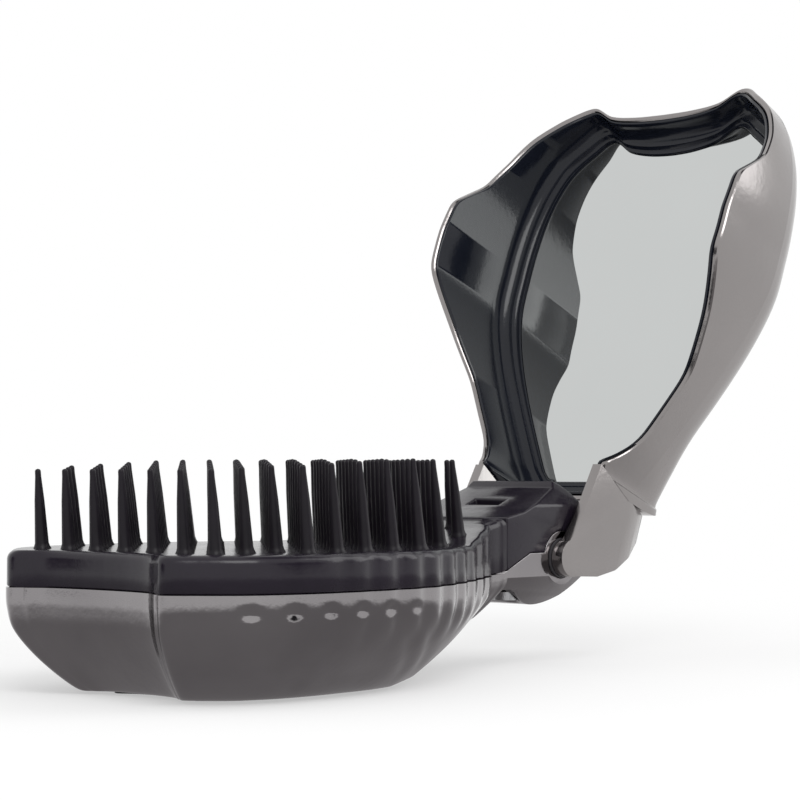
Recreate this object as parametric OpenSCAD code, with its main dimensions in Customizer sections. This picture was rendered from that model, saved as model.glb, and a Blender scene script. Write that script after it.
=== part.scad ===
// Folding hairbrush with a mirror lid, drawn open as in the photograph. Millimetres, +Z up.
// X runs from the free end (minus) toward the hinge, with 0 at the middle of the pad underneath.
// The modules are written about the hinge axis, along Y, and placed() moves them all to the pad.
// Heights called "over the axis" are measured with the brush closed or lying flat.

/* [Lid] */
// Angle between the closed lid and the pose drawn here
open_deg = 112.45; // [0:0.05:120]
// Half width of the lid at its widest
lid_half = 33.2; // [30:0.1:36]
// Distance from the hinge axis to the ears of the lid
lid_len = 98.7; // [92:0.1:104]
// Half distance between the two ears of the lid
ear_half = 17.6; // [14:0.1:20]
// Depth of the valley between the ears
ear_dip = 3.5; // [2:0.1:5]
// Half width of the lid's neck
neck_half = 14.2; // [13:0.1:15.5]
// Reach of the lid's arms behind the hinge axis
neck_back = 2.7; // [2:0.1:3]
// Height of the mirror face over the axis
mirror_h = 17.4; // [17:0.1:18.5]
// Height of the lid's back over the axis
back_h = 21.8; // [21.5:0.1:24]
// Height over the axis at which the lid's sides begin to round over
side_h = 12.5; // [11:0.1:14]
// Wall of the chrome lid shell
shell_wall = 1.1; // [0.8:0.05:1.4]
// Wall of the black liner at its rim
liner_wall = 0.8; // [0.6:0.05:1.2]
// Width of the black border around the mirror
mirror_border = 5.9; // [5:0.1:8]
// Distance from the hinge axis to the mirror
mirror_from = 21; // [20.4:0.1:24]
// Mirror glass thickness
glass_t = 1.0; // [0.6:0.05:1.1]
// Adhesive pad thickness
pad_t = 0.2; // [0.1:0.05:0.3]
// Play around the glass in its recess
glass_play = 0.05; // [0.05:0.05:0.3]
// Depth of the side tabs below the seam
tab_drop = 2.7; // [1:0.1:4]

/* [Base] */
// Height of the seam between the chrome shell and the black plate
seam_z = 16; // [14:0.1:20]
// Height of the hinge axis over the seam
axis_over_seam = 2.4; // [2:0.1:3]
// Gap between the closed lid and the base
lid_gap = 0.5; // [0.4:0.05:0.8]
// Wall of the chrome base shell
base_wall = 2; // [1.5:0.1:3]
// Thickness of the pad under the shell
pad_h = 0.5; // [0.3:0.1:1]
// Width of the pad as a share of the casing's
pad_part = 0.5; // [0.35:0.01:0.55]

/* [Plate] */
// Height of the plate's flat top over the seam
plate_edge = 5.5; // [4:0.1:7]
// Height of the ramp over the plate's flat top, at the dome
ramp_rise = 4.0; // [1:0.1:5]
// Distance from the hinge axis at which the ramp starts
ramp_from = 35; // [28:1:45]
// Width of the plate's rounded top edge
plate_round = 1.4; // [0.5:0.1:2]
// Thickness of the plate
plate_skin = 1.8; // [1.2:0.1:2.5]
// Step between the shell's edge and the plate's edge
plate_step = 0.15; // [0.05:0.05:0.4]
// Radius of the posts that carry the plate on the shell's floor
post_r = 2.8; // [2.4:0.1:4]
// Distance from the hinge axis to the nearer post
post_near = 55; // [53:1:60]
// Distance between the two posts
post_pitch = 26; // [20:1:28]

/* [Bristles] */
// Distance from the hinge axis to the nearest row of bristles
pins_from = 22.5; // [20:0.5:30]
// Number of places for bristles along the brush
pin_rows = 12; // [8:1:12]
// Distance between bristles along the brush
pin_pitch = 6.0; // [5:0.1:7]
// Distance between bristles across the brush
pin_cross = 6.3; // [5:0.1:7]
// Margin between the bristles and the plate's edge
pin_margin = 3.6; // [3:0.1:6]
// Clearance between the bristle tips and the closed mirror
tip_gap = 0.7; // [0.5:0.1:2]
// How much lower the tips stand at the free end
tip_fall = 1.6; // [0:0.1:2.5]
// Bristle radius at the root
pin_root_r = 1.05; // [0.8:0.05:1.3]
// Bristle radius below the tip
pin_tip_r = 0.45; // [0.3:0.05:0.7]
// Radius of each bristle's foot
pin_foot_r = 1.4; // [1.3:0.05:1.8]
// Height of each bristle's foot
pin_foot_h = 0.7; // [0.3:0.1:1.2]
// Lean of the bristles at the free end, in degrees
lean_far = 4.5; // [0:0.5:6]
// Lean of the bristles at the hinge end, in degrees
lean_near = 8; // [0:0.5:9]

/* [Hinge] */
// Radius of the hinge knob
knob_r = 11; // [10:0.1:12]
// Distance of the knob's centre in front of the axis
knob_in = 3; // [2:0.1:3.5]
// Height of the knob's centre over the axis
knob_up = 3; // [2:0.1:3.5]
// Half width of the hinge knob
knob_half = 11.6; // [11:0.1:11.7]
// Largest reach of the knob from the axis
knob_reach = 14.5; // [13.5:0.1:14.6]
// Clearance around the knob inside the lid
knob_gap = 0.5; // [0.4:0.1:0.8]
// Height of the parting line of dome and tongue over the axis
parting = 1.0; // [0.5:0.1:1.5]
// Radius of the barrel around the hinge pin
barrel_r = 4.6; // [4.2:0.1:5]
// Width of the bevels along the dome's upper edges
dome_bevel = 3.2; // [1:0.1:4]
// Height of the bevels along the dome's upper edges
dome_drop = 5; // [2:0.1:6]
// Hinge pin radius
pin_r = 1.5; // [1.2:0.1:2]
// Radial running clearance of the hinge pin
pin_play = 0.05; // [0.02:0.01:0.1]
// Depth of the pin's seat in each lug
pin_seat = 1.4; // [0.8:0.1:1.6]
// Thickness of the friction washers
washer_t = 0.8; // [0.5:0.1:1.2]
// Amount by which each washer stands out of its recess
washer_out = 0.2; // [0.1:0.05:0.25]
// Radius of the friction washers
washer_r = 3.4; // [2.8:0.1:3.6]
// Radius of the lid's lugs around the pin
lug_r = 3.2; // [2.8:0.1:4]
// Gap between the knob and the lid's lugs
lug_gap = 0.4; // [0.3:0.05:0.5]
// Length of the slot in the dome
slot_l = 7; // [4:0.5:9]
// Width of the slot in the dome
slot_w = 2.6; // [1.5:0.1:4]
// Depth of the slot in the dome
slot_d = 1.8; // [1:0.1:3]
// Distance of the slot in front of the axis
slot_in = 5.5; // [4:0.1:7]

/* [Screws] */
// Screw shank radius
screw_r = 1.1; // [0.8:0.1:1.3]
// Screw head radius
head_r = 2.2; // [1.8:0.1:2.6]
// Screw head height
head_h = 1.4; // [1:0.1:2]
// Screw length below the head
screw_l = 9; // [7:0.5:11]
// Radial clearance of a screw in the piece it draws down
screw_play = 0.3; // [0.1:0.05:0.5]
// Radial clearance of a screw in the post it bites into
bite_play = 0.03; // [0.01:0.01:0.1]
// Distance of the dome's screws in front of the axis
dome_screw_in = 8.4; // [8:0.1:9]
// Half distance between the dome's two screws
dome_screw_y = 6; // [4:0.5:8]

/* [Hidden] */
axis_z = seam_z + axis_over_seam;
plate_z = seam_z + plate_edge;
rim_wall = shell_wall + liner_wall;
arm_in = neck_half - rim_wall;     // inner faces of the lid's arms
joint_v = knob_reach + 0.3;        // plane where base, plate, dome and tongue meet
neck_from = knob_reach + knob_gap; // plane where the lid's shell meets its arms
lid_mid = lid_len / 2;            // point that the lid's back narrows to
base_mid = lid_len * 0.7;         // point that the base's underside narrows to
steps = 3;                        // straight pieces between two outline points

// curve through points by the Catmull-Rom formula
function cr(a, b, c, d, t) = 0.5 * (2 * b + (c - a) * t + (2 * a - 5 * b + 4 * c - d) * t * t
    + (3 * b - a - 3 * c + d) * t * t * t);
function smooth(p) = [for (i = [0 : len(p) - 2]) for (k = [0 : steps - 1])
    cr(p[max(i - 1, 0)], p[i], p[i + 1], p[min(i + 2, len(p) - 1)], k / steps)];
function belly(f) = neck_half + (lid_half - neck_half) * f;
// half outline of the lid: distance from the axis and half width, from the neck round to the middle
half_line = [[neck_from, neck_half], [neck_from + 1.5, neck_half], [neck_from + 3, neck_half],
    [lid_len * 0.253, belly(0.226)], [lid_len * 0.375, belly(0.579)], [lid_len * 0.476, belly(0.826)],
    [lid_len * 0.567, belly(0.974)], [lid_len * 0.648, belly(1)], [lid_len * 0.719, belly(0.995)],
    [lid_len * 0.79, belly(0.953)], [lid_len * 0.855, belly(0.863)], [lid_len * 0.917, belly(0.70)],
    [lid_len * 0.968, belly(0.426)], [lid_len, ear_half], [lid_len - ear_dip * 0.69, ear_half * 0.71],
    [lid_len - ear_dip * 0.94, ear_half * 0.38], [lid_len - ear_dip, 0]];
side_line = concat([[neck_from, 0], [neck_from, neck_half * 0.35], [neck_from, neck_half * 0.7]],
    smooth(half_line));
function mirrored(s, last) = concat([for (q = s) [-q[0], q[1]]], [[-last[0], 0]],
    [for (i = [len(s) - 1 : -1 : 1]) [-s[i][0], -s[i][1]]]);
lid_line = mirrored(side_line, half_line[len(half_line) - 1]);
function unit(v) = v / max(norm(v), 0.0001);
// outline narrowed by s, half as much along the brush, about the point c, then moved by d toward a spine on the centre line
function ring(p, d, s = 1, c = 0) = let (q = [for (a = p) [(a[0] + c) * (0.5 + 0.5 * s) - c, a[1] * s]],
    m = -q[0][0], w = max([for (a = q) -a[0] < m + 0.01 ? a[1] : 0]))
    [for (a = q) let (t = unit([-min(max(-a[0], m + 8), lid_len * 0.7), 0] - a), v = -a[0] - m) v < 0.01
        ? [-m - d, a[1] * (1 - d / w)] : [-m - max(v - d * t[0], d + 0.1 * v), a[1] + d * t[1]]];
// outline whose hinge end is drawn in to the distance a, without a change beyond the distance b
function drawn(p, a, b) = let (m = -p[0][0]) [for (q = p)
    -q[0] > b ? q : [-(a + (-q[0] - m) * (b - a) / (b - m)), q[1]]];
base_line = drawn([for (q = ring(lid_line, rim_wall + lid_gap)) -q[0] > neck_from + 5 ? q
    : [q[0], sign(q[1]) * min(abs(q[1]), arm_in - lid_gap)]], joint_v, neck_from + 4);
hollow_line = drawn(base_line, 19, 40);
mirror_line = drawn(lid_line, mirror_from - mirror_border, 34);
lead = 4;                         // outline points on each half of the straight hinge end
// solid from rings of equal length listed from the bottom up, closed by strips across
module skin(rs) {
    n = len(rs[0]);
    m = len(rs);
    cap = concat([for (j = [0 : 2 * lead - 2]) [lead, (n - lead + j) % n, (n - lead + j + 1) % n]],
        [for (i = [lead : n / 2 - 1]) let (a = n - i, b = n - i - 1) each
            b == i + 1 ? [[i, b, a]] : [[i, i + 1, b], [i, b, a]]]);
    polyhedron(points = [for (r = rs) for (a = r) a], faces = concat(cap,
        [for (k = [0 : m - 2]) for (i = [0 : n - 1]) let (j = (i + 1) % n) each
            [[k * n + i, (k + 1) * n + i, (k + 1) * n + j], [k * n + i, (k + 1) * n + j, k * n + j]]],
        [for (f = cap) [f[0], f[2], f[1]] + (m - 1) * [n, n, n]]));
}
function at(p, zs) = [for (i = [0 : len(p) - 1]) [p[i][0], p[i][1], zs[i]]];
function flat(p, z) = [for (a = p) [a[0], a[1], z]];

// lid edge over the axis: arms at the neck, side scoops, side tabs and the open mouth at the free end
mouth_h = side_h - 1.5;            // edge of the neck's end wall
function rim_h(v, w) = v > lid_len * 0.94 && w < ear_half * 1.04 ? side_h - 0.6 :
    lookup(v, [[neck_from, mouth_h], [neck_from + 3, 1.4], [lid_len * 0.21, 4.2],
    [lid_len * 0.253, 6.6], [lid_len * 0.375, 6.0], [lid_len * 0.476, 0.8],
    [lid_len * 0.566, -axis_over_seam - tab_drop], [lid_len * 0.648, -axis_over_seam - tab_drop],
    [lid_len * 0.72, 1.2 - axis_over_seam - tab_drop], [lid_len * 0.79, 3.1], [lid_len * 0.855, 6],
    [lid_len * 0.917, 7.8], [lid_len * 0.968, 9.8], [lid_len, side_h - 0.6]]);
rims = [for (q = lid_line) rim_h(-q[0], abs(q[1]))];
// lid's back over the axis, a little lower at the neck
function back_top(v) = lookup(v, [[15, back_h - 0.7], [20, back_h]]);
function over(r, z, t) = at(r, [for (i = [0 : len(r) - 1])
    min(max(z, rims[i] + 0.8 - t / 2), back_top(-r[i][0]) - t)]);
shoulder = [[1, 0, side_h], [0.985, 0.4, side_h + 3.1], [0.96, 1.2, back_h - 3.4],
    [0.92, 2.4, back_h - 1.5], [0.85, 3.6, back_h - 0.4], [0.75, 5, back_h]];
lid_outside = concat([at(lid_line, rims)], [for (k = shoulder) over(ring(lid_line, k[1], k[0], lid_mid), k[2], 0)]);
lid_inside = concat([at(ring(lid_line, shell_wall), rims)], [for (k = [0 : 5]) let (s = shoulder[k])
    over(ring(lid_line, s[1] + shell_wall, s[0], lid_mid), s[2] - shell_wall * (0.4 + 0.15 * k), shell_wall)]);
function reversed(a) = [for (i = [len(a) - 1 : -1 : 0]) a[i]];

// seam of shell and plate, which climbs to the hinge's parting line
function seam_at(v) = seam_z + lookup(v, [[5, axis_over_seam + parting], [10.5, axis_over_seam - 0.3],
    [16, 0.2], [20, 0]]);
seams = [for (q = base_line) seam_at(-q[0])];
// depth of the underside below the seam
function keel(v) = lookup(v, [[0, 5.6], [10, 5.6], [16, 6.2], [22, 8.2], [33, 11.8], [45, seam_z - pad_h - 0.8],
    [52, seam_z - pad_h]]);
// outline narrowed toward the underside, less so at the hinge end
function under(p, s) = [for (q = p) let (v = -q[0]) [-(v > base_mid ? base_mid + (v - base_mid) * s
    : base_mid - (base_mid - v) * (0.75 + 0.25 * s)), q[1] * s]];
function hull_ring(s, f) = let (r = under(base_line, s))
    at(r, [for (i = [0 : len(r) - 1]) seams[i] * (1 - f) + f * (seam_z - keel(-r[i][0]))]);
function hollow_ring(s, f, up) = let (r = ring(under(hollow_line, s), base_wall))
    at(r, [for (i = [0 : len(r) - 1]) (seams[i]) * (1 - f) + f * (seam_z - keel(-r[i][0])) + up]);
// height of the plate's top
function ramp_at(v) = plate_z + max(0, ramp_rise * (ramp_from - v) / (ramp_from - joint_v));

module lid_pose() translate([0, 0, axis_z]) rotate([0, open_deg, 0]) children();
module across(r, l) rotate([90, 0, 0]) cylinder(r = r, h = l, center = true, $fn = 64);
module side_copy() for (s = [0, 1]) mirror([0, s, 0]) children();

module knob_body() union() {
    translate([-knob_in, 0, axis_z + knob_up]) across(knob_r, 2 * knob_half);
    translate([-joint_v, -knob_half, axis_z - 5]) cube([joint_v - knob_in, 2 * knob_half, knob_up + 14]);
}
// prisms along y and along x that trim the knob
module side_prism(p) rotate([90, 0, 0]) linear_extrude(60, center = true) polygon(p);
module end_prism(p) translate([-20, 0, 0]) rotate([90, 0, 90]) linear_extrude(40) polygon(concat(p,
    [for (i = [len(p) - 1 : -1 : 0]) [-p[i][0], p[i][1]]]));
part_line = [[-joint_v, seam_at(joint_v)], [-8.5, axis_z + parting], [20, axis_z + parting]];
module screw_at(x, y, z) translate([x, y, z]) {
    cylinder(r = head_r, h = head_h, $fn = 32);
    cylinder(r = screw_r, h = head_h + screw_l, $fn = 32);
}
module screw_way(x, y, z, depth) translate([x, y, z]) {
    translate([0, 0, -20]) cylinder(r = head_r + screw_play, h = head_h + 20, $fn = 32);
    cylinder(r = screw_r + screw_play, h = depth, $fn = 32);
}
pad_from = post_near - 2;          // end of the pad toward the hinge
dome_screw_z = axis_z - 7;

module base_shell() color([0.48, 0.47, 0.48]) skin([
    hull_ring(0.60, 1), hull_ring(0.68, 0.975), hull_ring(0.84, 0.71), hull_ring(0.96, 0.42),
    hull_ring(0.995, 0.19), at(base_line, seams), hollow_ring(1, 0, 0), hollow_ring(0.95, 0.42, 0),
    hollow_ring(0.82, 0.71, base_wall), hollow_ring(0.66, 1, base_wall)]);
module hinge_tongue() color([0.48, 0.47, 0.48]) difference() {
    union() {
        intersection() {
            knob_body();
            side_prism(concat([[20, 0], [-12, 0], [-12, axis_z - 7.5], [-joint_v, axis_z - 5.5]], part_line));
            end_prism([[-knob_half, axis_z + 10], [-knob_half, axis_z - 3], [2.4 - knob_half, axis_z - 6.5],
                [5 - knob_half, axis_z - 9]]);
        }
        translate([0, 0, axis_z]) across(barrel_r, 2 * knob_half);
    }
    translate([0, 0, axis_z]) {
        across(pin_r + pin_play, 3 * knob_half);
        side_copy() translate([0, knob_half - (washer_t - washer_out) + 5, 0])
            across(washer_r + pin_play, 10);
    }
    side_copy() screw_way(-dome_screw_in, dome_screw_y, dome_screw_z, 20);
}
pad_line = [for (q = under(base_line, pad_part)) if (-q[0] > pad_from) q];
module base_pad() color([0.12, 0.12, 0.13]) linear_extrude(pad_h) polygon(pad_line);

deck_out = ring(base_line, plate_step);
deck_top = ring(base_line, plate_step + plate_round);
function deck_z(r, low) = [for (q = r) ramp_at(-q[0]) - low];
module bristle_plate() color([0.07, 0.065, 0.075]) union() {
    skin([at(ring(base_line, base_wall + 0.4), deck_z(base_line, plate_skin)),
        at(ring(base_line, base_wall), [for (q = base_line) seam_at(-q[0])]),
        at(deck_out, [for (q = base_line) seam_at(-q[0])]),
        at(deck_out, deck_z(base_line, plate_round)),
        at(ring(base_line, plate_step + 0.3 * plate_round), deck_z(base_line, 0.3 * plate_round)),
        at(deck_top, deck_z(deck_top, 0))]);
    for (v = [post_near, post_near + post_pitch]) translate([-v, 0, pad_h + base_wall])
        cylinder(r = post_r, h = plate_z - plate_skin / 2 - pad_h - base_wall, $fn = 32);
}

// half width of the deck at a distance from the axis
deck_half = [for (q = side_line) if (-neck_back + 4 < q[0] && q[0] <= lid_len) [q[0] - (rim_wall + lid_gap) * 0.6, q[1] - rim_wall - lid_gap]];
function pin_fits(v, y) = abs(y) < lookup(v, deck_half) - pin_margin
    && v < lid_len - ear_dip - rim_wall - lid_gap - pin_margin;
module bristle(v, y) {
    far = (v - pins_from) / (pin_pitch * (pin_rows - 1));
    lean = lean_near + (lean_far - lean_near) * far;
    top = axis_z + mirror_h - tip_gap - tip_fall * max(0, 2 * far - 1);
    long = (top - ramp_at(v)) / cos(lean);
    cap = 0.4;
    translate([-v, y, ramp_at(v)]) rotate([0, -lean, 0]) {
        translate([0, 0, -1]) cylinder(r = pin_foot_r, h = 1, $fn = 16);
        cylinder(r1 = pin_foot_r, r2 = pin_root_r * 0.98, h = pin_foot_h, $fn = 16);
        cylinder(r1 = pin_root_r, r2 = pin_tip_r, h = long - cap, $fn = 16);
        translate([0, 0, long - cap]) cylinder(r1 = pin_tip_r, r2 = pin_tip_r * 0.45, h = cap, $fn = 16);
    }
}
module bristles(from, to) color([0.06, 0.055, 0.065]) difference() {
    for (i = [from : to]) for (j = [-6 : 6]) let (v = pins_from + pin_pitch * i, y = pin_cross * j)
        if (pin_fits(v, y)) bristle(v, y);
    rotate([90, 0, 0]) linear_extrude(100, center = true)
        polygon(concat([[-200, 0], [-200, plate_z]], [for (i = [floor(len(deck_top) / 2) : -1 : lead])
            let (v = -deck_top[i][0]) if (v < ramp_from + 8) [-v, ramp_at(v)]], [[deck_top[lead][0], 0]]));
}
module bristles_free_end() bristles(floor(pin_rows * 2 / 3), pin_rows - 1);
module bristles_middle() bristles(floor(pin_rows / 3), floor(pin_rows * 2 / 3) - 1);
module bristles_hinge_end() bristles(0, floor(pin_rows / 3) - 1);

module hinge_dome() color([0.07, 0.065, 0.08]) difference() {
    intersection() {
        knob_body();
        side_prism(concat(part_line, [[20, axis_z + 14], [1.5, axis_z + 14], [0, axis_z + 12],
            [-10, ramp_at(joint_v) + 0.9], [-joint_v, ramp_at(joint_v)]]));
        end_prism([[-knob_half, axis_z - 9], [-knob_half, axis_z + 14 - dome_drop],
            [dome_bevel - knob_half, axis_z + 14]]);
    }
    translate([0, 0, axis_z]) across(barrel_r, 3 * knob_half);
    translate([-slot_in, 0, axis_z + 10 - slot_d]) rotate([0, -18, 0])
        translate([-slot_w / 2, -slot_l / 2, 0]) cube([slot_w, slot_l, 10]);
    side_copy() translate([-dome_screw_in, dome_screw_y, 0])
        cylinder(r = screw_r + bite_play, h = dome_screw_z + head_h + screw_l, $fn = 32);
}
module dome_screws() color([0.6, 0.6, 0.62]) side_copy() screw_at(-dome_screw_in, dome_screw_y, dome_screw_z);
module friction_washers() color([0.75, 0.72, 0.6]) translate([0, 0, axis_z]) side_copy() difference() {
    translate([0, knob_half + washer_out - washer_t / 2, 0]) across(washer_r, washer_t);
    across(pin_r + pin_play, 4 * knob_half);
}
module hinge_pin() color([0.7, 0.7, 0.72]) translate([0, 0, axis_z])
    across(pin_r, 2 * (knob_half + lug_gap + pin_seat));

module lid_shell() color([0.45, 0.44, 0.45]) lid_pose() skin(concat(reversed(lid_inside), lid_outside));
// side plate of the neck, with a lug around the pin and a blind seat for it
module lid_arm(side) color([0.45, 0.44, 0.45]) lid_pose() mirror([0, side < 0 ? 1 : 0, 0]) difference() {
    union() {
        intersection() {
            translate([0, neck_half, 0]) rotate([90, 0, 0]) linear_extrude(rim_wall) union() {
                polygon([[-neck_from - 3, 1.4], [-neck_from, mouth_h], [-neck_from, back_h], [-10.5, 18.8],
                    [-6.3, 16], [-2.3, 12], [neck_back - 2.2, 7.6], [neck_back, 1.6], [neck_back, 0],
                    [-2, -2], [-8, -0.2]]);
                circle(r = lug_r, $fn = 64);
            }
            end_prism([[-neck_half, -9], [-neck_half, side_h], [0.6 - neck_half, side_h + 3.1],
                [1.8 - neck_half, back_h - 3.4]]);
        }
        translate([0, (knob_half + lug_gap + neck_half) / 2, 0])
            across(lug_r, neck_half - knob_half - lug_gap);
    }
    across(pin_r + bite_play, 2 * (knob_half + lug_gap + pin_seat));
}
module lid_arm_near() lid_arm(-1);
module lid_arm_far() lid_arm(1);
module lid_liner() color([0.1, 0.11, 0.14]) lid_pose() skin(concat([
    flat(ring(mirror_line, mirror_border), mirror_h + glass_t + pad_t),
    flat(ring(mirror_line, mirror_border), mirror_h - 0.5),
    flat(ring(mirror_line, mirror_border - 0.9), mirror_h - 0.5),
    flat(ring(mirror_line, mirror_border - 1.4), mirror_h - 1.3),
    at(ring(lid_line, rim_wall + 0.1), [for (r = rims) max(side_h + 0.8, r + 0.4)]),
    at(ring(lid_line, rim_wall), rims)], lid_inside));
module mirror_pad() color([0.2, 0.2, 0.2]) lid_pose() translate([0, 0, mirror_h + glass_t])
    linear_extrude(pad_t) polygon(ring(mirror_line, mirror_border + 2));
module mirror_glass() color([0.8, 0.83, 0.85]) lid_pose() translate([0, 0, mirror_h])
    linear_extrude(glass_t) polygon(ring(mirror_line, mirror_border + glass_play));

module placed() translate([post_near + post_pitch / 2, 0, 0]) children();
placed() base_shell();
placed() hinge_tongue();
placed() base_pad();
placed() bristle_plate();
placed() bristles_free_end();
placed() bristles_middle();
placed() bristles_hinge_end();
placed() hinge_dome();
placed() dome_screws();
placed() friction_washers();
placed() hinge_pin();
placed() lid_arm_near();
placed() lid_arm_far();
placed() lid_shell();
placed() lid_liner();
placed() mirror_pad();
placed() mirror_glass();
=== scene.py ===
import math
import bmesh
import bpy
import numpy as np
from mathutils import Matrix, Vector
from mathutils.geometry import tessellate_polygon


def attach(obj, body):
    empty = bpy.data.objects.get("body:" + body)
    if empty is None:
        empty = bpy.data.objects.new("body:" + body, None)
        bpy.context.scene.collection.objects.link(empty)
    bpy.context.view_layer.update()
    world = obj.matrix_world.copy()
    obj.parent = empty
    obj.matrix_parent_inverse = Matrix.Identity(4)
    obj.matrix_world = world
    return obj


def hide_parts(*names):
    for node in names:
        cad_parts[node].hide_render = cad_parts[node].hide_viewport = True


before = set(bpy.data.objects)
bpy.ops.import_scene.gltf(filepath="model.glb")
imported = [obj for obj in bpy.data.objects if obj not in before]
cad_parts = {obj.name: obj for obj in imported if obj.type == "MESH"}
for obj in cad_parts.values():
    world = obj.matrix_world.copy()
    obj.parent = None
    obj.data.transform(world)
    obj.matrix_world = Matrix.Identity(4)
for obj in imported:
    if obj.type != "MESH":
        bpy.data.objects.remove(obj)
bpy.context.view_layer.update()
print("frame loaded:", len(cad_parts), "nodes")

scene = bpy.context.scene
scene.view_settings.view_transform = "Standard"
mm = 0.001

# where the model stands: the hinge axis, and the angle from closed to open
place = {"axisX": 68.0, "axisZ": 18.4, "openDeg": 112.45}

view = {
    "lens": 100.0,
    "sensor": 36.0,
    "near": 0.01,
    "far": 20,
    "spot": (-0.23544, -0.24462, 0.03272),
    "right": (0.66479, -0.74703, 0.00073),
    "up": (-0.02540, -0.02163, 0.99944),
}


def makeCamera():
    data = bpy.data.cameras.new("photoCamera")
    data.lens = view["lens"]
    data.sensor_width = view["sensor"]
    data.clip_start = view["near"]
    data.clip_end = view["far"]
    camera = bpy.data.objects.new("photoCamera", data)
    scene.collection.objects.link(camera)
    right = Vector(view["right"]).normalized()
    back = right.cross(Vector(view["up"])).normalized()
    up = back.cross(right)
    turn = Matrix((right, up, back)).transposed().to_4x4()
    camera.matrix_world = Matrix.Translation(view["spot"]) @ turn
    scene.camera = camera


makeCamera()
print("camera placed")


# a node's output that sums and products can be written with
class Wire:
    def __init__(self, maker, socket):
        self.maker, self.socket = maker, socket

    def maths(self, kind, other, swapped=False):
        pair = (other, self) if swapped else (self, other)
        return self.maker.add("ShaderNodeMath", {"operation": kind}, {0: pair[0], 1: pair[1]})

    def __add__(self, other):
        return self.maths("ADD", other)

    def __radd__(self, other):
        return self.maths("ADD", other, True)

    def __mul__(self, other):
        return self.maths("MULTIPLY", other)

    def __rmul__(self, other):
        return self.maths("MULTIPLY", other, True)


class Finish:
    def __init__(self, name, nodeTree=None):
        self.material = None
        if nodeTree is None:
            self.material = bpy.data.materials.new(name)
            self.material.use_nodes = True
            nodeTree = self.material.node_tree
        self.tree = nodeTree
        self.tree.nodes.clear()

    # any node: its settings first, then the values or links of its sockets
    def add(self, kind, settings=None, sockets=None, out=0):
        node = self.tree.nodes.new(kind)
        for key, value in (settings or {}).items():
            setattr(node, key, value)
        for key, value in (sockets or {}).items():
            if isinstance(value, Wire):
                self.tree.links.new(value.socket, node.inputs[key])
            else:
                node.inputs[key].default_value = value
        return Wire(self, node.outputs[out]) if len(node.outputs) else None

    def noise(self, scale, detail, stretch=(1, 1, 1)):
        spot = self.add("ShaderNodeTexCoord", out="Object")
        spread = self.add("ShaderNodeMapping", None, {"Vector": spot, "Scale": stretch})
        return self.add("ShaderNodeTexNoise", None,
                        {"Vector": spread, "Scale": scale, "Detail": detail})


mixDark, mixLight, mixColour = 6, 7, 2  # the colour sockets of a Mix node
cloudDetail, fineDetail = 4.0, 2.0


def tinted(finish, mask, dark, light):
    return finish.add("ShaderNodeMix", {"data_type": "RGBA"},
                      {"Factor": mask, mixDark: (*dark, 1), mixLight: (*light, 1)}, mixColour)


# soft clouds change the colour, clouds and grain change the roughness, and grain is the bump
def makeFinish(name, look):
    f = Finish(name)
    cloud = f.noise(look["cloud"], cloudDetail)
    fine = f.noise(look["fine"], fineDetail, look.get("stretch", (1, 1, 1)))
    colour = tinted(f, cloud, look["dark"], look["light"])
    rough = cloud * look["roughSpread"] + fine * look["roughSpread"] + look["rough"]
    bump = f.add("ShaderNodeBump", None,
                 {"Height": fine, "Strength": look["bump"], "Distance": look["bumpDepth"]})
    shader = f.add("ShaderNodeBsdfPrincipled", None, {
        "Base Color": colour, "Roughness": rough, "Normal": bump,
        "Metallic": look.get("metallic", 0.0),
        "Specular IOR Level": look.get("specular", 0.5)})
    f.add("ShaderNodeOutputMaterial", None, {"Surface": shader})
    return f.material


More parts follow.
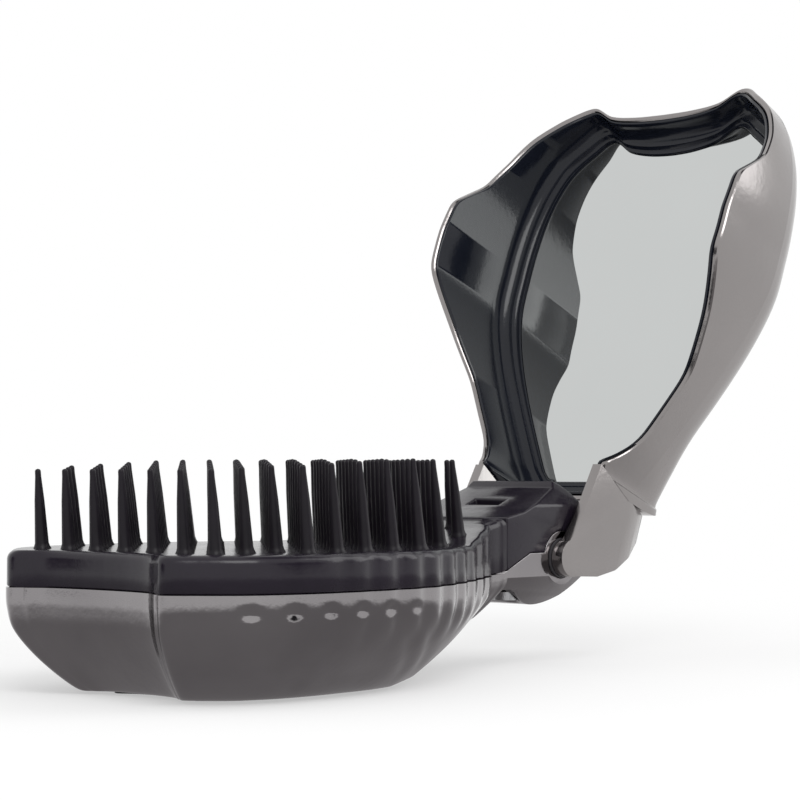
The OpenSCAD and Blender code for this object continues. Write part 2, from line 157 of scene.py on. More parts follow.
finishLooks = {
    "smokedChrome": {
        "metallic": 1.0, "dark": (0.20, 0.188, 0.195), "light": (0.32, 0.305, 0.31),
        "cloud": 60, "fine": 900, "rough": 0.07, "roughSpread": 0.05,
        "bump": 0.12, "bumpDepth": 0.0002},
    "lidChrome": {
        "metallic": 1.0, "dark": (0.23, 0.215, 0.212), "light": (0.31, 0.292, 0.288),
        "cloud": 35, "fine": 900, "rough": 0.11, "roughSpread": 0.06,
        "bump": 0.10, "bumpDepth": 0.0002},
    "violetBlack": {
        "specular": 0.32, "dark": (0.008, 0.006, 0.010), "light": (0.016, 0.012, 0.020),
        "cloud": 80, "fine": 1100, "rough": 0.12, "roughSpread": 0.08,
        "bump": 0.12, "bumpDepth": 0.0002},
    "pinBlack": {
        "specular": 0.2, "dark": (0.006, 0.005, 0.007), "light": (0.012, 0.009, 0.014),
        "cloud": 300, "fine": 2500, "rough": 0.26, "roughSpread": 0.12,
        "bump": 0.1, "bumpDepth": 0.0001},
    "inkLiner": {
        "specular": 0.32, "dark": (0.004, 0.005, 0.009), "light": (0.009, 0.011, 0.018),
        "cloud": 45, "fine": 1200, "rough": 0.09, "roughSpread": 0.07,
        "bump": 0.08, "bumpDepth": 0.0002},
    "silveredGlass": {
        "metallic": 1.0, "dark": (0.555, 0.57, 0.565), "light": (0.58, 0.595, 0.59),
        "cloud": 30, "fine": 500, "rough": 0.0, "roughSpread": 0.012,
        "bump": 0.005, "bumpDepth": 0.00005},
    "softRubber": {
        "dark": (0.018, 0.018, 0.019), "light": (0.032, 0.032, 0.034),
        "cloud": 200, "fine": 3000, "rough": 0.62, "roughSpread": 0.15,
        "bump": 0.35, "bumpDepth": 0.0002},
    "groundSteel": {
        "metallic": 1.0, "dark": (0.42, 0.42, 0.43), "light": (0.58, 0.58, 0.59),
        "cloud": 250, "fine": 1800, "rough": 0.22, "roughSpread": 0.12,
        "bump": 0.2, "bumpDepth": 0.0001, "stretch": (1, 9, 1)},
    "washerNylon": {
        "dark": (0.03, 0.028, 0.032), "light": (0.06, 0.056, 0.062),
        "cloud": 200, "fine": 2200, "rough": 0.42, "roughSpread": 0.12,
        "bump": 0.2, "bumpDepth": 0.0001},
}
finishes = {name: makeFinish(name, look) for name, look in finishLooks.items()}
print("finishes made:", len(finishes))

# Both shells are drawn closed, in mm about the hinge axis: v runs from the axis
# along the brush, w is the distance from its middle, and outlines hold (-v, y).
lid = {
    "half": 33.2, "length": 98.7, "earHalf": 17.6, "earDip": 3.5,
    "neckFrom": 15.0, "neckHalf": 14.2,
    "sideH": 12.5, "backH": 21.8, "wall": 1.1, "liner": 0.8,
    "tabDrop": 2.7,                     # how far the side tabs hang over the seam
    "rimDown": 0.6,                     # the rim at the ears stands under sideH by this
    "mirrorFrom": 21.0, "mirrorH": 17.4, "border": 5.9, "glass": 1.0, "pad": 0.2,
    "mirrorBlend": 34,                  # the mirror's outline is the lid's from here on
}
base = {
    "seamZ": 16.0, "seamDrop": 2.4, "gap": 0.5, "wall": 2.0, "padH": 0.5,
    "joint": 14.8,                      # where the outline ends, beside the hinge
    "neckTo": 5, "blendTo": 4,          # ends of the straight neck, past neckFrom
    "edge": 5.5, "round": 1.4, "skin": 1.8, "step": 0.15,
    "rampRise": 4.0, "rampFrom": 35.0,
    "ribPitch": 6.0, "ribPhase": 77.5, "ribDepth": 0.55, "ribPower": 1.5,
    "grooveAt": 15.0, "grooveDepth": 0.8, "grooveFrom": 88,
}
bellyShape = [  # (share of the length, share of the way from the neck to the full width)
    (0.253, 0.226), (0.375, 0.579), (0.476, 0.826), (0.567, 0.974), (0.648, 1.0),
    (0.719, 0.995), (0.79, 0.953), (0.855, 0.863), (0.917, 0.70), (0.968, 0.426)]
valleyShape = [(0.69, 0.71), (0.94, 0.38), (1, 0)]  # (share of earDip, share of earHalf)
neckSteps = (0, 0.35, 0.7)              # shares of the neck's half width, on its flat end
neckRuns = (0, 1.5, 3)                  # where the neck is straight, past neckFrom
piecesEach = 9                          # straight pieces between two outline points
rimWall = lid["wall"] + lid["liner"]
spineFrom = 8                           # the spine's near end, past the neck
spineHold = 24                          # its near end for dips, from the axis
spineEnd = lid["length"] * 0.7
leastShare = 0.1                        # of v, where a point would pass the neck's end
hair, tiny = 0.01, 0.0001


# a curve's point between b and c, with a and d as their neighbours
def along(a, b, c, d, t):
    straight = 2 * b + (c - a) * t
    bend = (2 * a - 5 * b + 4 * c - d) * t * t
    twist = (3 * b - a - 3 * c + d) * t ** 3
    return 0.5 * (straight + bend + twist)


def smoothed(points, pieces=piecesEach):
    p = [np.array(q, float) for q in points]
    last = len(p) - 1
    return [along(p[max(i - 1, 0)], p[i], p[i + 1], p[min(i + 2, last)], k / pieces)
            for i in range(last) for k in range(pieces)]


def makeLidLine():
    far, ear, dip = lid["length"], lid["earHalf"], lid["earDip"]
    start, neck = lid["neckFrom"], lid["neckHalf"]
    curve = [(start + run, neck) for run in neckRuns]
    curve += [(far * a, neck + (lid["half"] - neck) * b) for a, b in bellyShape]
    curve += [(far, ear)] + [(far - dip * a, ear * b) for a, b in valleyShape]
    side = [np.array((start, neck * share), float) for share in neckSteps] + smoothed(curve)
    upper = [(-q[0], q[1]) for q in side]
    lower = [(-q[0], -q[1]) for q in side[:0:-1]]
    return np.array(upper + [(-(far - dip), 0.0)] + lower)


lidLine = makeLidLine()


# unit steps from an outline's points to the spine on the centre line
def toward(line, spine):
    t = np.column_stack([spine - line[:, 0], -line[:, 1]])
    return t / np.maximum(np.linalg.norm(t, axis=1), tiny)[:, None]


# outline narrowed by s about the point c, half as much lengthwise, then moved inward by d
def ring(line, d, s=1.0, c=0.0):
    q = np.column_stack([(line[:, 0] + c) * (0.5 + 0.5 * s) - c, line[:, 1] * s])
    neck = -q[0, 0]
    neckHalf = max(q[-q[:, 0] < neck + hair, 1])
    v = -q[:, 0] - neck
    t = toward(q, -np.minimum(np.maximum(-q[:, 0], neck + spineFrom), spineEnd))
    atEnd = v < hair
    x = np.where(atEnd, -neck - d, -neck - np.maximum(v - d * t[:, 0], d + leastShare * v))
    y = np.where(atEnd, q[:, 1] * (1 - d / neckHalf), q[:, 1] + d * t[:, 1])
    return np.column_stack([x, y])


# outline whose neck end is drawn to a, as it is from b on
def drawn(line, a, b):
    neck = -line[0, 0]
    pulled = -(a + (-line[:, 0] - neck) * (b - a) / (b - neck))
    return np.column_stack([np.where(-line[:, 0] > b, line[:, 0], pulled), line[:, 1]])


# outline moved inward by each point's own dip
def moved(line, dip):
    t = toward(line, -np.clip(-line[:, 0], spineHold, spineEnd))
    return line + t * np.asarray(dip)[:, None]


def level(line, z):
    return np.column_stack([line, np.broadcast_to(z, len(line))])


def readTable(v, table):
    return np.interp(v, [row[0] for row in table], [row[1] for row in table])


def makeBaseLine():
    q = ring(lidLine, rimWall + base["gap"])
    most = lid["neckHalf"] - rimWall - base["gap"]
    held = np.sign(q[:, 1]) * np.minimum(np.abs(q[:, 1]), most)
    q[:, 1] = np.where(-q[:, 0] > lid["neckFrom"] + base["neckTo"], q[:, 1], held)
    return drawn(q, base["joint"], lid["neckFrom"] + base["blendTo"])


baseLine = makeBaseLine()
mirrorLine = drawn(lidLine, lid["mirrorFrom"] - lid["border"], lid["mirrorBlend"])

# the lid's rim as (share of the length, height), with the tab's heights over its lowest
rimLine = {
    "before": [(0.21, 4.2), (0.253, 6.6), (0.375, 6.0), (0.476, 0.8)],
    "tab": [(0.566, 0), (0.648, 0), (0.72, 1.2)],
    "after": [(0.79, 3.1), (0.855, 6), (0.917, 7.8), (0.968, 9.8)],
    "neckDown": 1.5, "neckRun": 3, "neckH": 1.4, "neckKeep": 1,
    "earFrom": 0.94, "earSpan": 1.04,   # shares of the length and of earHalf
    "passes": 3,
}


def rimHeights():
    v, w, far = -lidLine[:, 0], np.abs(lidLine[:, 1]), lid["length"]
    top = lid["sideH"] - lid["rimDown"]
    low = -base["seamDrop"] - lid["tabDrop"]
    tab = [(share, z + low) for share, z in rimLine["tab"]]
    table = [(lid["neckFrom"], lid["sideH"] - rimLine["neckDown"]),
             (lid["neckFrom"] + rimLine["neckRun"], rimLine["neckH"])]
    table += [(far * share, z) for share, z in rimLine["before"] + tab + rimLine["after"]]
    table += [(far, top)]
    atEars = (v > far * rimLine["earFrom"]) & (w < lid["earHalf"] * rimLine["earSpan"])
    high = np.where(atEars, top, readTable(v, table))
    soft = high.copy()
    for _ in range(rimLine["passes"]):
        soft = (np.roll(soft, 1) + 2 * soft + np.roll(soft, -1)) / 4
    return np.where(v < lid["neckFrom"] + rimLine["neckKeep"], high, soft)


rims = rimHeights()

capStrips = 2.0                         # a cap's strips end this far before the valley
weld = 1e-6


def toFrame(points, opened):
    p = np.array(points, float)
    x, y, z = p[:, 0], p[:, 1], p[:, 2]
    if opened:
        a = math.radians(place["openDeg"])
        x, z = x * math.cos(a) + z * math.sin(a), -x * math.sin(a) + z * math.cos(a)
        z = z + place["axisZ"]
    return np.column_stack([x + place["axisX"], y, z]) * mm


# a cap: strips across the brush up to the ears, and triangles between the ears
def across(line, offset, flip):
    n = len(line)
    last = int(np.argmax(-line[: n // 2, 0] > -line[n // 2, 0] - capStrips))
    faces = []
    for i in range(last):
        a, b = (n - i) % n, n - i - 1
        faces.append([i, i + 1, b] if a == i else [i, i + 1, b, a])
    rest = list(range(last, n - last + 1))
    outline = [Vector((float(line[k, 0]), float(line[k, 1]), 0)) for k in rest]
    faces += [[rest[k] for k in tri] for tri in tessellate_polygon([outline])]
    return [[offset + k for k in (face[::-1] if flip else face)] for face in faces]


# closed skin from rings listed from one cap to the other
def skin(name, rings, opened, finish, sharpDeg):
    n, points, faces = len(rings[0]), np.vstack(rings), []
    faces += across(rings[0], 0, False)
    for k in range(len(rings) - 1):
        for i in range(n):
            j = (i + 1) % n
            faces.append([k * n + i, k * n + j, (k + 1) * n + j, (k + 1) * n + i][::-1])
    faces += across(rings[-1], (len(rings) - 1) * n, True)
    return finished(name, toFrame(points, opened), faces, finish, sharpDeg)


def finished(name, points, faces, finish, sharpDeg):
    mesh = bpy.data.meshes.new(name)
    mesh.from_pydata([tuple(map(float, p)) for p in points], [], faces)
    work = bmesh.new()
    work.from_mesh(mesh)
    bmesh.ops.remove_doubles(work, verts=work.verts, dist=weld)
    bmesh.ops.recalc_face_normals(work, faces=work.faces)
    work.to_mesh(mesh)
    work.free()
    return shown(name, mesh, finish, sharpDeg)


def shown(name, mesh, finish, sharpDeg):
    mesh.materials.clear()
    mesh.materials.append(finishes[finish])
    mesh.shade_smooth()
    mesh.set_sharp_from_angle(angle=math.radians(sharpDeg))
    piece = bpy.data.objects.new(name, mesh)
    scene.collection.objects.link(piece)
    return piece


def settle(piece, body, slotName, *nodes):
    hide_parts(*nodes)
    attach(piece, body)


# What changes along the brush fades in and out over four distances, and what
# changes down the hull over four shares of the way from the seam to the keel.
casing = {
    "hull": [(0.60, 1.0), (0.68, 0.975), (0.84, 0.71), (0.96, 0.42), (0.995, 0.19), (1.0, 0.0)],
    "seam": [(5, 3.4), (10.5, 2.1), (16, 0.2), (20, 0)],
    "keel": [(0, 5.6), (10, 5.6), (16, 6.2), (22, 8.2), (33, 11.8)],
    "flatFrom": 45, "flatRise": 0.8, "flatTo": 52,
    "nearKeep": 0.75, "nearGive": 0.25,
    "insideFrom": 19, "insideBlend": 40, "lipOuter": 0.92, "lipInner": 0.08,
    "floorIn": 8, "floorDown": 9, "sharpDeg": 40,
    "ribSpan": (20, 28, 60, 84), "ribBand": (-0.2, 0.02, 0.3, 0.62),
    "grooveWide": 0.7, "grooveFade": 0.5,
    "fluteDepth": 0.42, "flutePitch": 11, "fluteLean": 1.6, "fluteFrom": 8,
    "fluteSway": 0.35, "swayPitch": 5.0, "swayLean": 3,
    "fluteSpan": (40, 50, 84, 92), "fluteBand": (0.22, 0.4, 0.75, 0.95),
    "dimpleDepth": 0.5, "dimplePitch": 6.0, "dimpleShift": 1.5, "dimpleWide": 1.0,
    "dimpleAt": 0.17, "dimpleTall": 0.05, "dimpleSpan": (56, 60, 88, 92),
}


def seamAt(v):
    return base["seamZ"] + readTable(v, casing["seam"])


def keelAt(v):
    deep = base["seamZ"] - base["padH"]
    flat = [(casing["flatFrom"], deep - casing["flatRise"]), (casing["flatTo"], deep)]
    return readTable(v, casing["keel"] + flat)


# 0 before a and after d, 1 between b and c
def window(v, a, b, c, d):
    up = np.clip((v - a) / (b - a), 0, 1)
    down = np.clip((d - v) / (d - c), 0, 1)
    return up * up * (3 - 2 * up) * down * down * (3 - 2 * down)


def ribWave(v):
    wave = 0.5 - 0.5 * np.cos(2 * math.pi * (v - base["ribPhase"]) / base["ribPitch"])
    return wave ** base["ribPower"]


# ribs along both sides, a crease behind each ear, soft flutes lower down and a row of dimples
def casingDip(line, f):
    c = casing
    v, w, deep = -line[:, 0], np.abs(line[:, 1]), np.array([f])
    ribs = base["ribDepth"] * ribWave(v) * window(v, *c["ribSpan"]) * window(deep, *c["ribBand"])
    crease = base["grooveDepth"] * np.exp(-((w - base["grooveAt"]) / c["grooveWide"]) ** 2)
    crease = crease * (v > base["grooveFrom"]) * (1 - c["grooveFade"] * f)
    sway = c["fluteSway"] * np.sin(v / c["swayPitch"] + c["swayLean"] * f)
    phase = v / c["flutePitch"] + c["fluteLean"] * f + sway
    flow = c["fluteDepth"] * (0.5 + 0.5 * np.sin(2 * math.pi * phase))
    flow = flow * window(v, *c["fluteSpan"]) * window(deep, *c["fluteBand"]) * (w > c["fluteFrom"])
    aside = (v - c["dimpleShift"]) % c["dimplePitch"] - c["dimplePitch"] / 2
    dots = np.exp(-(aside / c["dimpleWide"]) ** 2)
    dots = dots * math.exp(-((f - c["dimpleAt"]) / c["dimpleTall"]) ** 2)
    return ribs + crease + flow + c["dimpleDepth"] * dots * window(v, *c["dimpleSpan"])


def makeCasing():
    v, seams, rings = -baseLine[:, 0], seamAt(-baseLine[:, 0]), []
    for s, f in smoothed(casing["hull"]) + [np.array(casing["hull"][-1])]:
        s, f = min(s, 1.0), min(max(f, 0.0), 1.0)
        near = spineEnd - (spineEnd - v) * (casing["nearKeep"] + casing["nearGive"] * s)
        x = np.where(v > spineEnd, spineEnd + (v - spineEnd) * s, near)
        line = moved(np.column_stack([-x, baseLine[:, 1] * s]), casingDip(baseLine, f))
        rings.append(level(line, seams * (1 - f) + f * (base["seamZ"] - keelAt(x))))
    top = rings[-1]
    seat = drawn(baseLine, casing["insideFrom"], casing["insideBlend"])
    inner = ring(seat, base["wall"])
    rings.append(level(casing["lipOuter"] * top[:, :2] + casing["lipInner"] * inner, top[:, 2]))
    rings.append(level(inner, base["seamZ"]))
    rings.append(level(ring(seat, base["wall"] + casing["floorIn"]),
                       base["seamZ"] - casing["floorDown"]))
    piece = skin("casing", rings, False, "smokedChrome", casing["sharpDeg"])
    settle(piece, "base", "base_shell", "base_shell")


makeCasing()
print("base casing made")

deck = {
    "nickDepth": 0.6, "nickSpan": (20, 28, 62, 84), "grooveDepth": 0.35, "grooveWide": 0.8,
    "wallIn": 0.4, "footIn": 0.35, "footNick": 0.6, "footUp": 0.02,
    "sideNick": 0.8, "sideUp": 0.35, "roundSteps": 6, "nickFade": 9,
    "flatIn": 3.0, "sharpDeg": 50,
}


def rampAt(v):
    steep = base["rampRise"] * (base["rampFrom"] - v) / (base["rampFrom"] - base["joint"])
    return base["seamZ"] + base["edge"] + np.maximum(0, steep)


def makeDeck():
    v, w = -baseLine[:, 0], np.abs(baseLine[:, 1])
    nick = deck["nickDepth"] * ribWave(v) * window(v, *deck["nickSpan"])
    groove = deck["grooveDepth"] * np.exp(-((w - base["grooveAt"]) / deck["grooveWide"]) ** 2)
    nick = nick + groove * (v > base["grooveFrom"])
    low, high = seamAt(v), rampAt(v)
    side, r = ring(baseLine, base["step"]), base["round"]
    foot = moved(ring(baseLine, base["step"] + deck["footIn"]), nick * deck["footNick"])
    rings = [level(ring(baseLine, base["wall"] + deck["wallIn"]), high - base["skin"]),
             level(ring(baseLine, base["wall"]), low),
             level(foot, low + deck["footUp"]),
             level(moved(side, nick * deck["sideNick"]), low + deck["sideUp"]),
             level(moved(side, nick), (low + high) / 2)]
    for k in range(deck["roundSteps"] + 1):
        a = math.radians(90 * k / deck["roundSteps"])
        edge = ring(baseLine, base["step"] + r * (1 - math.cos(a)))
        edge = moved(edge, nick * (1 - k / deck["nickFade"]))
        rings.append(level(edge, high - r * (1 - math.sin(a))))
    rings.append(level(ring(baseLine, base["step"] + deck["flatIn"]), high))
    piece = skin("bristleDeck", rings, False, "violetBlack", deck["sharpDeg"])
    settle(piece, "base", "bristle_plate", "bristle_plate")


makeDeck()
print("deck made")

pins = {
    "from": 22.5, "rows": 12, "pitch": 6.0, "cross": 6.3, "eachSide": 6,
    "margin": 3.6, "sideGive": 0.6, "tipGap": 0.7, "tipFall": 1.6,
    "root": 1.05, "tip": 0.45, "foot": 1.4, "footH": 0.7,
    "leanFar": 4.5, "leanNear": 8.0, "thickness": 1.0,
    "sides": 16, "standard": 13.0,      # the pattern's own height
    "sharpDeg": 60,
}


# one bristle of the standard height, whose profile is (radius, height) from foot to tip
def makePattern():
    h, root, tip = pins["standard"], pins["root"], pins["tip"]
    foot, footH = pins["foot"], pins["footH"]
    profile = [(foot, -1.0), (foot, 0.0), (foot * 0.86, footH * 0.5), (root, footH * 1.3),
               (root * 0.83 + tip * 0.17, h * 0.25), (root * 0.5 + tip * 0.5, h * 0.6),
               (tip * 1.04, h * 0.9), (tip, h - 0.42), (tip * 0.92, h - 0.25),
               (tip * 0.66, h - 0.09)]
    n, top = pins["sides"], len(profile) - 1
    a = np.arange(n) * 2 * math.pi / n
    rings = [np.column_stack([r * np.cos(a), r * np.sin(a), np.full(n, z)]) * mm
             for r, z in profile]
    faces = [list(range(n))[::-1]]
    for k in range(top):
        faces += [[k * n + i, k * n + (i + 1) % n, (k + 1) * n + (i + 1) % n, (k + 1) * n + i]
                  for i in range(n)]
    faces += [[top * n + i, top * n + (i + 1) % n, (top + 1) * n] for i in range(n)]
    points = np.vstack(rings + [np.array([[0, 0, h * mm]])])
    return finished("pinPattern", points, faces, "pinBlack", pins["sharpDeg"])


def pinPlaces():
    side = lidLine[len(neckSteps): len(lidLine) // 2 + 1]
    reach = sorted((-q[0] - (rimWall + base["gap"]) * pins["sideGive"],
                    q[1] - rimWall - base["gap"]) for q in side)
    end = lid["length"] - lid["earDip"] - rimWall - base["gap"] - pins["margin"]
    spots, leans, talls = [], [], []
    for i in range(pins["rows"]):
        for j in range(-pins["eachSide"], pins["eachSide"] + 1):
            v, y = pins["from"] + pins["pitch"] * i, pins["cross"] * j
            if abs(y) >= readTable(v, reach) - pins["margin"] or v >= end:
                continue
            far = i / (pins["rows"] - 1)
            lean = pins["leanNear"] + (pins["leanFar"] - pins["leanNear"]) * far
            fall = pins["tipFall"] * max(0.0, 2 * far - 1)
            top = place["axisZ"] + lid["mirrorH"] - pins["tipGap"] - fall
            foot = float(rampAt(v))
            spots.append(((-v + place["axisX"]) * mm, y * mm, foot * mm))
            leans.append(-math.radians(lean))
            talls.append((top - foot) / math.cos(math.radians(lean)) / pins["standard"])
    return spots, leans, talls


def makePinRows():
    tree = bpy.data.node_groups.new("pinRows", "GeometryNodeTree")
    for name, way, kind in (("Geometry", "INPUT", "Geometry"), ("Pin", "INPUT", "Object"),
                            ("Thickness", "INPUT", "Float"), ("Geometry", "OUTPUT", "Geometry")):
        tree.interface.new_socket(name, in_out=way, socket_type="NodeSocket" + kind)
    g = Finish("pinRows", tree)
    inlet = tree.nodes.new("NodeGroupInput")
    points, pin, thickness = (Wire(g, inlet.outputs[k]) for k in range(3))
    shape = g.add("GeometryNodeObjectInfo", {"transform_space": "ORIGINAL"},
                  {"Object": pin}, "Geometry")
    lean, tall = (g.add("GeometryNodeInputNamedAttribute", {"data_type": "FLOAT"}, {"Name": name})
                  for name in ("lean", "tall"))
    turn = g.add("ShaderNodeCombineXYZ", None, {"Y": lean})
    grow = g.add("ShaderNodeCombineXYZ", None, {"X": thickness, "Y": thickness, "Z": tall})
    turned = g.add("FunctionNodeEulerToRotation", None, {"Euler": turn})
    placed = g.add("GeometryNodeInstanceOnPoints", None,
                   {"Points": points, "Instance": shape, "Rotation": turned, "Scale": grow})
    solid = g.add("GeometryNodeRealizeInstances", None, {"Geometry": placed})
    dressed = g.add("GeometryNodeSetMaterial", None,
                    {"Geometry": solid, "Material": finishes["pinBlack"]})
    g.add("NodeGroupOutput", None, {0: dressed})
    return tree


# the mesh that a piece's modifiers leave
def baked(piece):
    evaluated = piece.evaluated_get(bpy.context.evaluated_depsgraph_get())
    made = bpy.data.meshes.new_from_object(evaluated)
    piece.modifiers.clear()
    return made


def makePins():
    pattern = makePattern()
    spots, leans, talls = pinPlaces()
    mesh = bpy.data.meshes.new("pinSpots")
    mesh.from_pydata(spots, [], [])
    for key, values in (("lean", leans), ("tall", talls)):
        mesh.attributes.new(key, "FLOAT", "POINT").data.foreach_set("value", values)
    holder = bpy.data.objects.new("pinSpots", mesh)
    scene.collection.objects.link(holder)
    modifier = holder.modifiers.new("pinRows", "NODES")
    modifier.node_group = makePinRows()
    inputs = {item.name: item.identifier for item in modifier.node_group.interface.items_tree
              if item.in_out == "INPUT"}
    modifier[inputs["Pin"]] = pattern
    modifier[inputs["Thickness"]] = pins["thickness"]
    made = baked(holder)
    bpy.data.objects.remove(holder)
    bpy.data.objects.remove(pattern)
    made.name = "bristlePins"
    piece = shown("bristlePins", made, "pinBlack", pins["sharpDeg"])
    settle(piece, "base", "bristles_middle",
           "bristles_free_end", "bristles_middle", "bristles_hinge_end")
    print("bristles made:", len(spots))


makePins()

hinge = {"weld": 2e-6, "flatDeg": 1.5, "edgeDeg": 24, "segments": 3, "sharpDeg": 30}
hingePieces = [("hingeCover", "hinge_dome", "base", "violetBlack", 0.6),
               ("hingeBlock", "hinge_tongue", "base", "smokedChrome", 0.5),
               ("neckNear", "lid_arm_near", "lid", "lidChrome", 0.35),
               ("neckFar", "lid_arm_far", "lid", "lidChrome", 0.35)]


# one of the frame's own nodes, with its edges rounded
def softened(name, node, body, finish, width):
    work = bmesh.new()
    work.from_mesh(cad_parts[node].data)
    bmesh.ops.remove_doubles(work, verts=work.verts, dist=hinge["weld"])
    bmesh.ops.dissolve_limit(work, angle_limit=math.radians(hinge["flatDeg"]),
                             verts=work.verts, edges=work.edges)
    mesh = bpy.data.meshes.new(name)
    work.to_mesh(mesh)
    work.free()
    piece = shown(name, mesh, finish, hinge["sharpDeg"])
    bevel = piece.modifiers.new("edges", "BEVEL")
    bevel.width = width * mm
    bevel.segments = hinge["segments"]
    bevel.limit_method = "ANGLE"
    bevel.angle_limit = math.radians(hinge["edgeDeg"])
    bevel.use_clamp_overlap = True
    piece.data = baked(piece)
    piece.data.shade_smooth()
    piece.data.set_sharp_from_angle(angle=math.radians(hinge["sharpDeg"]))
    settle(piece, body, node, node)


for row in hingePieces:
    softened(*row)
print("hinge pieces made")

lidShape = {
    "shoulder": [  # (narrowing, way inward, height) from the side up to the back
        (1, 0, lid["sideH"]), (0.985, 0.4, lid["sideH"] + 3.1),
        (0.96, 1.2, lid["backH"] - 3.4), (0.92, 2.4, lid["backH"] - 1.5),
        (0.85, 3.6, lid["backH"] - 0.4), (0.75, 5, lid["backH"])],
    "back": [(15, lid["backH"] - 0.7), (20, lid["backH"])],
    "centre": lid["length"] / 2, "pieces": 5, "rimUp": 0.8,
    "neckIn": 0.3, "neckNarrow": 0.1, "neckBlend": 17,
    "thinFirst": 0.4, "thinEach": 0.15,  # shares of the wall under the shoulder's rings
    "rimRound": 0.22, "sharpDeg": 38,
}


def over(line, z, t):
    back = readTable(-line[:, 0], lidShape["back"])
    return np.minimum(np.maximum(z, rims + lidShape["rimUp"] - t / 2), back - t)


# the shoulder's narrowing, which fades toward the squarer neck
def narrowed(d, s):
    far = ring(lidLine, d, s, lidShape["centre"])
    near = ring(lidLine, d * lidShape["neckIn"], 1 - (1 - s) * lidShape["neckNarrow"],
                lidShape["centre"])
    share = np.clip((-lidLine[:, 0] - lid["neckFrom"]) / lidShape["neckBlend"], 0, 1)
    share = (share * share * (3 - 2 * share))[:, None]
    return near * (1 - share) + far * share


# the inner skin of the lid's wall, drawn in by the play that the liner has there
def innerRings(play):
    rings = []
    for k, (s, d, z) in enumerate(lidShape["shoulder"]):
        line = ring(lidLine, d + lid["wall"] + play, s, lidShape["centre"])
        thin = lid["wall"] * (lidShape["thinFirst"] + lidShape["thinEach"] * k)
        rings.append(level(line, over(line, z - thin, lid["wall"]) - play))
    return rings


def makeLidCasing():
    shoulder, outside = lidShape["shoulder"], []
    for s, d, z in smoothed(shoulder, lidShape["pieces"]) + [np.array(shoulder[-1], float)]:
        line = narrowed(d, s)
        outside.append(level(line, over(line, z, 0)))
    soft = lidShape["rimRound"]
    rim = [level(ring(lidLine, lid["wall"]), rims + soft),
           level(ring(lidLine, lid["wall"] - soft), rims),
           level(ring(lidLine, soft), rims),
           level(ring(lidLine, 0.0), rims + soft)]
    piece = skin("lidCasing", innerRings(0)[::-1] + rim + outside, True, "lidChrome",
                 lidShape["sharpDeg"])
    settle(piece, "lid", "lid_shell", "lid_shell")


liner = {
    "play": 0.04,
    "step": [(0, 0.35), (0.12, 0.5), (0.8, 0.5), (1.0, 0.62), (1.4, 1.3)],  # (out, down)
    "curveIn": 0.1, "curveUp": 0.2, "curveOver": 0.4, "curveFrom": 0.15, "curvePoints": 9,
    "rimEdge": [(rimWall, 0.25), (rimWall - 0.2, 0.05),  # (way inward, height over the rim)
                (lid["wall"] + 0.22, 0.05), (lid["wall"] + 0.12, 0.35)],
    "sharpDeg": 45,
}


def makeLiner():
    h, b = lid["mirrorH"], lid["border"]
    rings = [level(ring(mirrorLine, b), h + lid["glass"] + lid["pad"])]
    rings += [level(ring(mirrorLine, b - out), h - down) for out, down in liner["step"]]
    out, down = liner["step"][-1]
    wall = ring(lidLine, rimWall + liner["curveIn"])
    foot = ring(mirrorLine, b - out)
    start = np.maximum(lid["sideH"] + liner["curveUp"], rims + liner["curveOver"])
    for t in np.linspace(liner["curveFrom"], 1.0, liner["curvePoints"]):
        a = t * math.pi / 2             # a hollow curve from the step round to the wall
        rings.append(level(foot + (wall - foot) * math.sin(a),
                           h - down + (start - (h - down)) * (1 - math.cos(a))))
    rings += [level(ring(lidLine, inward), rims + up) for inward, up in liner["rimEdge"]]
    piece = skin("lidLiner", rings + innerRings(liner["play"]), True, "inkLiner",
                 liner["sharpDeg"])
    settle(piece, "lid", "lid_liner", "lid_liner")


mirror = {"play": 0.05, "edge": 0.15, "sharpDeg": 20}


def makeMirror():
    h, b, t = lid["mirrorH"], lid["border"] + mirror["play"], lid["glass"]
    rings = [level(ring(mirrorLine, b), h + t),
             level(ring(mirrorLine, b), h + mirror["edge"]),
             level(ring(mirrorLine, b + mirror["edge"]), h)]
    piece = skin("mirrorGlass", rings, True, "silveredGlass", mirror["sharpDeg"])
    settle(piece, "lid", "mirror_glass", "mirror_glass")


makeLidCasing()
makeLiner()
makeMirror()
print("lid made")

# the frame's small parts keep their shape
keptParts = {"base_pad": "softRubber", "dome_screws": "groundSteel",
             "friction_washers": "washerNylon", "hinge_pin": "groundSteel",
             "mirror_pad": "softRubber"}
for node, finish in keptParts.items():
    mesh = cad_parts[node].data
    mesh.materials.clear()
    mesh.materials.append(finishes[finish])

studio = {
    "floorHalf": 4.0, "floorNear": 0.10, "floorFar": 0.30,
    "floorShade": 0.86, "floorGlow": 0.45,  # its grey, and its glow's share under the brush
    "ambient": 0.85, "cardCore": 0.45,      # the plain middle of a card, before its soft edge
    "lamps": [  # name, spot, target, size, power
        ("keyLamp", (-0.35, -0.55, 0.65), (0.02, 0, 0.04), (0.5, 0.4), 3.0),
        ("fillLamp", (0.5, -0.4, 0.4), (0.03, 0, 0.05), (0.4, 0.5), 1.2)],
    "cards": [  # name, spot, target, size, colour
        ("cardNear", (0.10, -0.55, 0.14), (0.03, 0, 0.03), (0.34, 0.34), (0.03, 0.03, 0.032)),
        # painted shade: a grey sheet under the brush that only gloss sees, darkening the lower
        # casing's reflections in place of the shade beneath it
        ("cardLow", (0.0, -0.03, 0.0002), (0.0, -0.03, 1), (0.28, 0.28), (0.34, 0.33, 0.335)),
        ("cardFar", (-0.6, 0.30, 0.05), (0.04, 0, 0.06), (0.5, 0.5), (0.03, 0.03, 0.034)),
        ("cardTop", (0.25, -0.10, 0.7), (0.03, 0, 0.03), (0.5, 0.5), (0.06, 0.06, 0.065))],
}


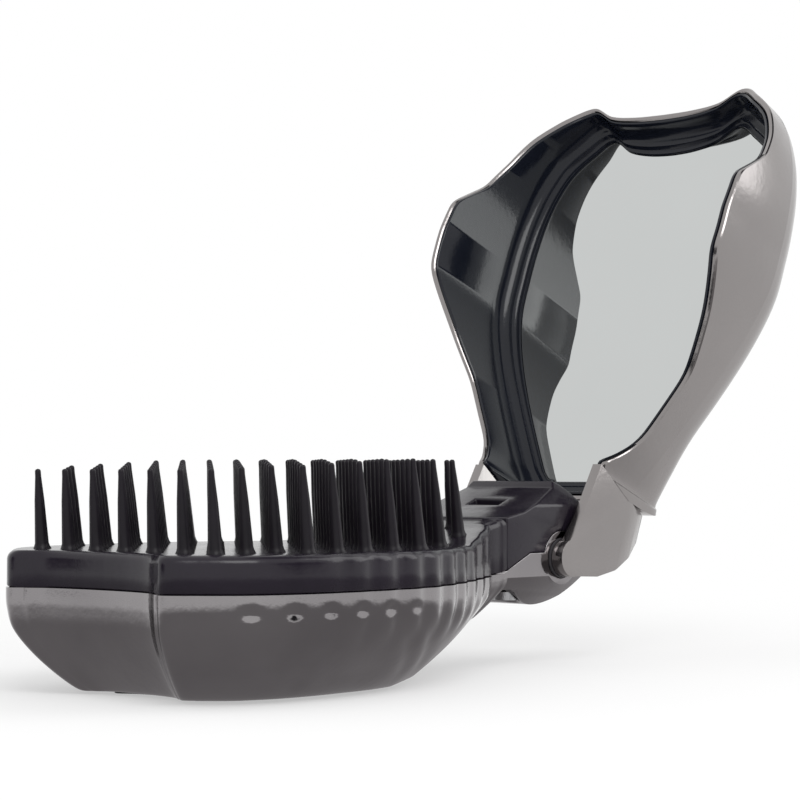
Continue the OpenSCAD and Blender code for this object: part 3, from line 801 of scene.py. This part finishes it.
# 1 for what the camera, gloss or glass sees, 0 for the light that spreads
def seenPlainly(f):
    path = f.tree.nodes.new("ShaderNodeLightPath")
    seen = Wire(f, path.outputs["Is Camera Ray"])
    for ray in ("Is Glossy Ray", "Is Transmission Ray"):
        seen = f.add("ShaderNodeMath", {"operation": "MAXIMUM"},
                     {0: seen, 1: Wire(f, path.outputs[ray])})
    return seen


def flatPiece(name, w, h, stand, material):
    corners = [stand @ Vector((x * w, y * h, 0)) for x, y in ((-1, -1), (1, -1), (1, 1), (-1, 1))]
    mesh = bpy.data.meshes.new(name)
    mesh.from_pydata([tuple(c) for c in corners], [], [(0, 1, 2, 3)])
    mesh.materials.append(material)
    piece = bpy.data.objects.new(name, mesh)
    scene.collection.objects.link(piece)
    return piece


def makeFloor():
    f = Finish("paleFloor")
    spot = f.add("ShaderNodeTexCoord", out="Object")
    reach = f.add("ShaderNodeVectorMath", {"operation": "LENGTH"}, {0: spot}, "Value")
    fade = f.add("ShaderNodeMapRange", {"interpolation_type": "SMOOTHSTEP"},
                 {"Value": reach, "From Min": studio["floorNear"],
                  "From Max": studio["floorFar"], "To Min": studio["floorGlow"], "To Max": 1.0})
    shade = studio["floorShade"]
    plain = f.add("ShaderNodeBsdfDiffuse", None, {"Color": (shade, shade, shade, 1)})
    glow = f.add("ShaderNodeEmission", None, {"Color": (1, 1, 1, 1), "Strength": 1.0})
    mixed = f.add("ShaderNodeMixShader", None, {0: seenPlainly(f) * fade, 1: plain, 2: glow})
    f.add("ShaderNodeOutputMaterial", None, {"Surface": mixed})
    half = studio["floorHalf"]
    flatPiece("floor", half, half, Matrix.Identity(4), f.material)


def makeWorld():
    world = bpy.data.worlds.new("studio")
    scene.world = world
    world.use_nodes = True
    w = Finish("studio", world.node_tree)
    strength = seenPlainly(w) * (1 - studio["ambient"]) + studio["ambient"]
    glow = w.add("ShaderNodeBackground", None, {"Color": (1, 1, 1, 1), "Strength": strength})
    w.add("ShaderNodeOutputWorld", None, {"Surface": glow})


def aimed(spot, target):
    turn = (Vector(target) - Vector(spot)).to_track_quat("-Z", "Y")
    return Matrix.Translation(spot) @ turn.to_matrix().to_4x4()


def makeLamp(name, spot, target, size, power):
    data = bpy.data.lights.new(name, "AREA")
    data.shape = "RECTANGLE"
    data.size, data.size_y = size
    data.energy = power
    lamp = bpy.data.objects.new(name, data)
    lamp.matrix_world = aimed(spot, target)
    scene.collection.objects.link(lamp)


# dark cards that only gloss sees, as a product studio has them; the grey card low under the brush
# is painted shade, standing in for the shade beneath the brush in reflections
def makeCard(name, spot, target, size, shade):
    w, h = size[0] / 2, size[1] / 2
    f = Finish(name)
    here = f.add("ShaderNodeTexCoord", out="Object")
    gone = f.add("ShaderNodeVectorMath", {"operation": "SUBTRACT"}, {0: here, 1: spot})
    reach = f.add("ShaderNodeVectorMath", {"operation": "LENGTH"}, {0: gone}, "Value")
    soft = f.add("ShaderNodeMapRange", {"interpolation_type": "SMOOTHSTEP"},
                 {"Value": reach, "From Min": studio["cardCore"] * min(w, h),
                  "From Max": min(w, h)})
    shaded = tinted(f, soft, shade, (1.0, 1.0, 1.0))
    glow = f.add("ShaderNodeEmission", None, {"Color": shaded, "Strength": 1.0})
    f.add("ShaderNodeOutputMaterial", None, {"Surface": glow})
    card = flatPiece(name, w, h, aimed(spot, target), f.material)
    card.visible_camera = False
    card.visible_diffuse = False
    card.visible_shadow = False
    card.visible_transmission = False


makeFloor()
makeWorld()
for row in studio["lamps"]:
    makeLamp(*row)
for row in studio["cards"]:
    makeCard(*row)
print("studio made")
